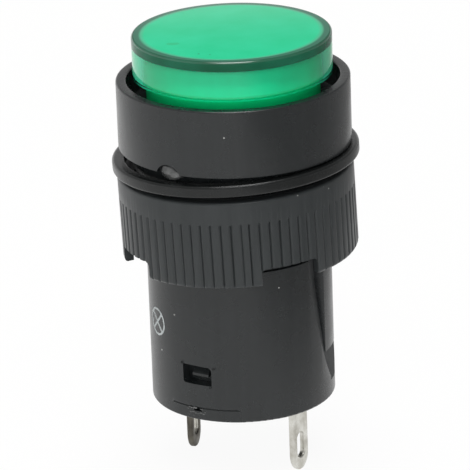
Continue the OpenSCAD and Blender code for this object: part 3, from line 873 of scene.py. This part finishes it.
def lampSign():
    m = mark
    bm = bmesh.new()
    for radius in (m["radius"], m["radius"] - m["stroke"]):
        bmesh.ops.create_circle(bm, cap_ends=False, segments=64, radius=radius * mm)
    bmesh.ops.bridge_loops(bm, edges=bm.edges[:])
    barShape = Matrix.Diagonal((2 * m["radius"] - m["stroke"], m["stroke"], 1, 1))
    for k, turn in enumerate((45, 135)):
        bar = bmesh.ops.create_grid(bm, x_segments=24, y_segments=1, size=0.5 * mm)["verts"]
        # one bar sits a hair higher, so that the two don't share a face
        lift = moved(0, 0, m["apart"] * (k + 0.5))
        bmesh.ops.transform(bm, matrix=lift @ turned(turn, "Z") @ barShape, verts=bar)
    bmesh.ops.solidify(bm, geom=bm.faces[:], thickness=m["thick"] * mm)
    bmesh.ops.recalc_face_normals(bm, faces=bm.faces)
    # bent round the body
    skin = bodyRadius + m["thick"] / 2
    for vert in bm.verts:
        x, y, z = vert.co / mm
        vert.co = around(skin + z, m["bearing"] + math.degrees(x / skin), m["height"] + y)
    return bm


finished("lamp_sign", lampSign(), "housing", ["ink"], sharp=60)
print("marking made")

# nodes that keep their own shape; those without a finish here are wire
kept = {"base_plug": "blackAbs", "circuit_board": "board", "led": "resin", "led_spacer": "nylon",
    "resistor": "lacquer", "diode": "epoxy", "terminal_solder_left": "solder",
    "terminal_solder_right": "solder", "component_solder": "solder"}
for name, node in nodes.items():
    node.data.materials.clear()
    node.data.materials.append(finishes[kept.get(name, "wire")])
print("kept nodes finished")

# world and floor. A rise is the sine of the angle above the horizon; the floor fades along X
studio = {"horizon": 1.0, "band": 0.42, "bandRise": (0.12, 0.3), "left": 1.35, "right": 0.6,
    "overhead": 9.0, "overheadRise": (0.965, 0.985),
    "floor": "f4f4f2", "floorGlow": 0.93, "floorFade": (14, 55), "floorRight": 0.4, "throughGlass": 0.5}


def buildWorld():
    # white all round near the horizon, dim above it, and one soft light straight overhead
    world = bpy.data.worlds.new("studio")
    world.use_nodes = True
    tree = world.node_tree
    tree.nodes.clear()
    direction = addNode(tree, "ShaderNodeTexCoord").outputs["Generated"]
    axes = addNode(tree, "ShaderNodeSeparateXYZ", {0: direction}).outputs
    bandStart, bandEnd = studio["bandRise"]
    low = addNode(tree, "ShaderNodeMapRange", {"Value": axes["Z"], "From Min": bandStart, "From Max": bandEnd,
        "To Min": studio["horizon"], "To Max": studio["band"]}, interpolation_type="SMOOTHSTEP")
    sides = addNode(tree, "ShaderNodeMapRange", {"Value": axes["X"], "From Min": -1, "From Max": 1,
        "To Min": studio["left"], "To Max": studio["right"]})
    sky = addNode(tree, "ShaderNodeMath", {0: low.outputs["Result"], 1: sides.outputs["Result"]},
        operation="MULTIPLY")
    overStart, overEnd = studio["overheadRise"]
    high = addNode(tree, "ShaderNodeMapRange", {"Value": axes["Z"], "From Min": overStart,
        "From Max": overEnd, "To Min": 0, "To Max": studio["overhead"]}, interpolation_type="SMOOTHSTEP")
    light = addNode(tree, "ShaderNodeMath", {0: sky.outputs[0], 1: high.outputs["Result"]}, operation="ADD")
    path = addNode(tree, "ShaderNodeLightPath").outputs
    seen = addNode(tree, "ShaderNodeMix", {"Factor": path["Is Camera Ray"], "A": light.outputs[0], "B": 1.0},
        data_type="FLOAT")
    background = addNode(tree, "ShaderNodeBackground", {"Color": (1, 1, 1, 1), "Strength": seen.outputs[0]})
    addNode(tree, "ShaderNodeOutputWorld", {"Surface": background.outputs[0]})
    bpy.context.scene.world = world


def whitePaper():
    # matt paper that keeps the shadow; seen straight or mirrored, it is mostly an even white glow
    material, tree = newMaterial("white paper")
    paper = addNode(tree, "ShaderNodeBsdfDiffuse", {"Color": hexColor(studio["floor"])})
    path = addNode(tree, "ShaderNodeLightPath").outputs
    # the mirrored glow falls off towards the right, and is dimmer through the lens
    place = addNode(tree, "ShaderNodeTexCoord").outputs["Object"]
    across = addNode(tree, "ShaderNodeSeparateXYZ", {0: place}).outputs["X"]
    fadeStart, fadeEnd = studio["floorFade"]
    shade = addNode(tree, "ShaderNodeMapRange", {"Value": across, "From Min": fadeStart * mm,
        "From Max": fadeEnd * mm, "To Min": 1.0, "To Max": studio["floorRight"]})
    dim = addNode(tree, "ShaderNodeMapRange", {"Value": path["Is Transmission Ray"], "From Min": 0,
        "From Max": 1, "To Min": 1.0, "To Max": studio["throughGlass"]})
    mirrored = addNode(tree, "ShaderNodeMath", {0: shade.outputs["Result"], 1: dim.outputs["Result"]},
        operation="MULTIPLY")
    strength = addNode(tree, "ShaderNodeMix", {"Factor": path["Is Camera Ray"], "A": mirrored.outputs[0],
        "B": 1.0}, data_type="FLOAT")
    glow = addNode(tree, "ShaderNodeEmission", {"Color": (1, 1, 1, 1),
        "Strength": strength.outputs["Result"]})
    seen = path["Is Camera Ray"]
    for ray in ("Is Glossy Ray", "Is Transmission Ray"):
        seen = addNode(tree, "ShaderNodeMath", {0: seen, 1: path[ray]}, operation="MAXIMUM").outputs[0]
    share = addNode(tree, "ShaderNodeMath", {0: seen, 1: studio["floorGlow"]}, operation="MULTIPLY")
    mixed = addNode(tree, "ShaderNodeMixShader", {0: share.outputs[0], 1: paper.outputs[0],
        2: glow.outputs[0]})
    addNode(tree, "ShaderNodeOutputMaterial", {"Surface": mixed.outputs[0]})
    return material


def buildFloor():
    bm = bmesh.new()
    bmesh.ops.create_grid(bm, x_segments=1, y_segments=1, size=3)  # metres
    bmesh.ops.translate(bm, vec=(0, 0, cadBox[0].z), verts=bm.verts)
    floor = looseObject("floor", bm)
    floor.data.materials.append(whitePaper())


# lamps: place and size in metres, watts, and whether plastic mirrors the lamp
lamps = {"frontFill": ((-0.1, -1.05, 0.2), (0.7, 0.6), 5, False),
    "edgeStrip": ((0.02, -0.55, 0.75), (0.5, 0.12), 1.6, True)}


def addLamp(name, place, size, power, mirrored):
    data = bpy.data.lights.new(name, "AREA")
    data.shape = "RECTANGLE"
    data.size, data.size_y = size
    data.energy = power
    lamp = bpy.data.objects.new(name, data)
    lamp.location = place
    lamp.rotation_mode = "QUATERNION"
    lamp.rotation_quaternion = Vector(place).to_track_quat("Z", "Y")
    lamp.visible_glossy = lamp.visible_transmission = mirrored
    bpy.context.scene.collection.objects.link(lamp)


buildWorld()
buildFloor()
for name, settings in lamps.items():
    addLamp(name, *settings)
print("world, floor and lamps in place")
